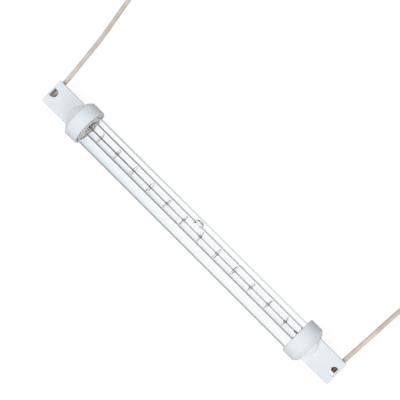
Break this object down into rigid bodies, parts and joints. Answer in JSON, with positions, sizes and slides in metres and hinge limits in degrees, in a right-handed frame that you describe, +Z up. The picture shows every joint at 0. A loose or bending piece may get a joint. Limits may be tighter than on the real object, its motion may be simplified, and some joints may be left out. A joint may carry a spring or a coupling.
{
  "type": "quartz heating tube",
  "caption": "Straight twin-walled clear quartz heating lamp with a coiled filament on wire supports, flat-sided white ceramic end caps with round collars, and braided side leads.",
  "frame": {"origin": "on the surface that the lamp lies on, under the middle of the tube, midway between the two end caps", "axes": "+X along the tube from the left cap to the right one, +Y to the side where both leads leave, +Z up, square to the flats of the caps"},
  "size_m": [0.3286, 0.1165, 0.0254],
  "materials": {
    "outer_quartz": "polished",
    "inner_quartz": "polished",
    "ceramic": "satin",
    "cement": "matte",
    "tungsten": "satin",
    "molybdenum": "satin",
    "nickel": "satin",
    "nickel_strands": "satin",
    "braid": "matte",
    "tinned_brass": "satin"
  },
  "bodies": {
    "root": {"cement_left": "cement", "cement_right": "cement", "contact_pin_left": "molybdenum", "contact_pin_right": "molybdenum", "crimp_sleeve_left": "nickel", "crimp_sleeve_right": "nickel", "end_cap_left": "ceramic", "end_cap_right": "ceramic", "filament": "tungsten", "filament_pin_left": "tungsten", "filament_pin_right": "tungsten", "inner_tube": "inner_quartz", "lead_coil_left": "braid", "lead_coil_right": "braid", "lead_left": "braid", "lead_right": "braid", "lead_strands_left": "nickel_strands", "lead_strands_right": "nickel_strands", "outer_tube": "outer_quartz", "sealing_foil_left": "molybdenum", "sealing_foil_right": "molybdenum", "support_ring_01": "tungsten", "support_ring_02": "tungsten", "support_ring_03": "tungsten", "support_ring_04": "tungsten", "support_ring_05": "tungsten", "support_ring_06": "tungsten", "support_ring_07": "tungsten", "support_ring_08": "tungsten", "support_ring_09": "tungsten", "support_ring_10": "tungsten", "support_ring_11": "tungsten", "support_ring_12": "tungsten", "terminal_left": "tinned_brass", "terminal_right": "tinned_brass"}
  },
  "joints": []
}
